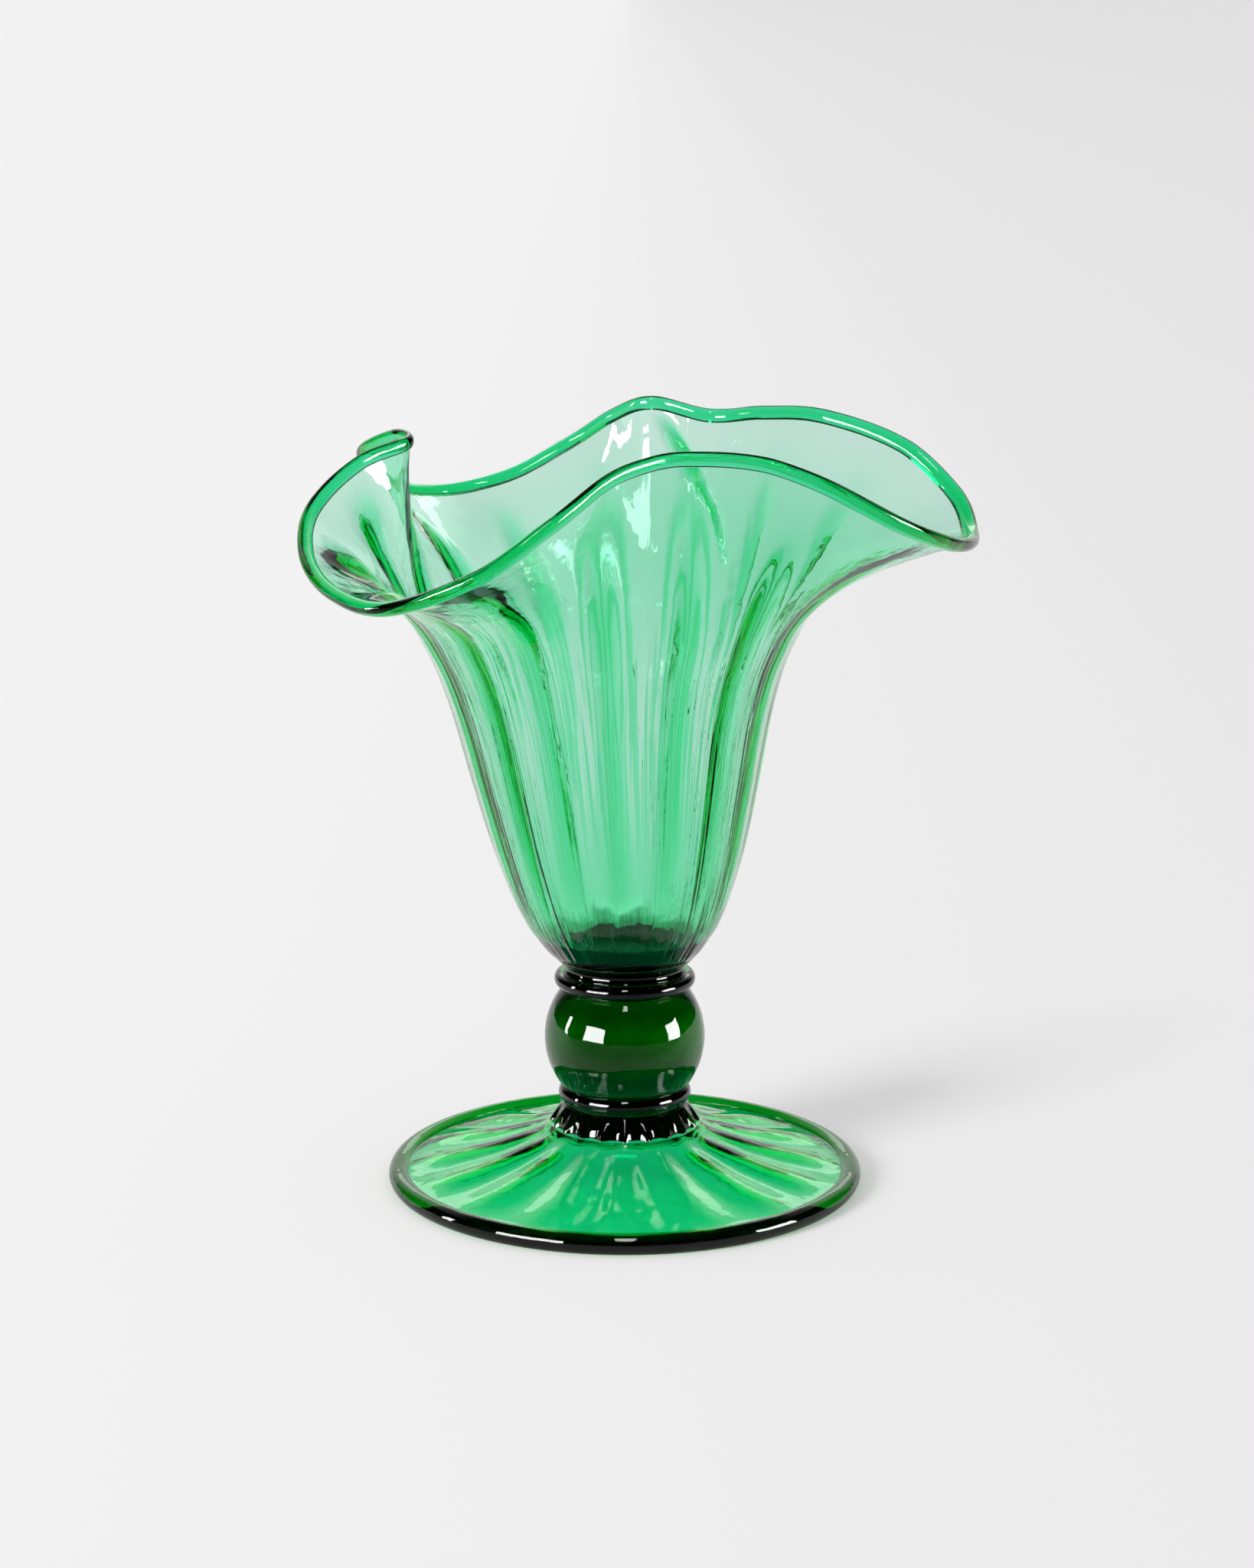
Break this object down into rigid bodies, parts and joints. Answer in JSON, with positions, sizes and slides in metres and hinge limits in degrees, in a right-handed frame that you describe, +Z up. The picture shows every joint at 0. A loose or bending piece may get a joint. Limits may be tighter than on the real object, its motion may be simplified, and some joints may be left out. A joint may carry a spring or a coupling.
{
  "type": "fan vase",
  "caption": "Footed fan vase of clear green blown glass: ribbed bowl flaring to a deep ruffled, beaded lip, on a ball knop between rings, a crimped collar and a domed ribbed foot.",
  "frame": {"origin": "on the standing plane, under the middle of the ruffled outline; the stem stands a few millimetres off it", "axes": "+Z up along the stem, -Y to the front, +X to the vase's right as seen from the front"},
  "size_m": [0.2081, 0.2098, 0.2443],
  "materials": {
    "green_glass": "fire-polished clear glass, dark green where thick"
  },
  "bodies": {
    "root": {"bowl": "green_glass", "lip_wrap": "green_glass", "neck": "green_glass", "upper_ring": "green_glass", "knop": "green_glass", "lower_ring": "green_glass", "crimped_collar": "green_glass", "foot": "green_glass", "foot_roll": "green_glass"}
  },
  "joints": []
}
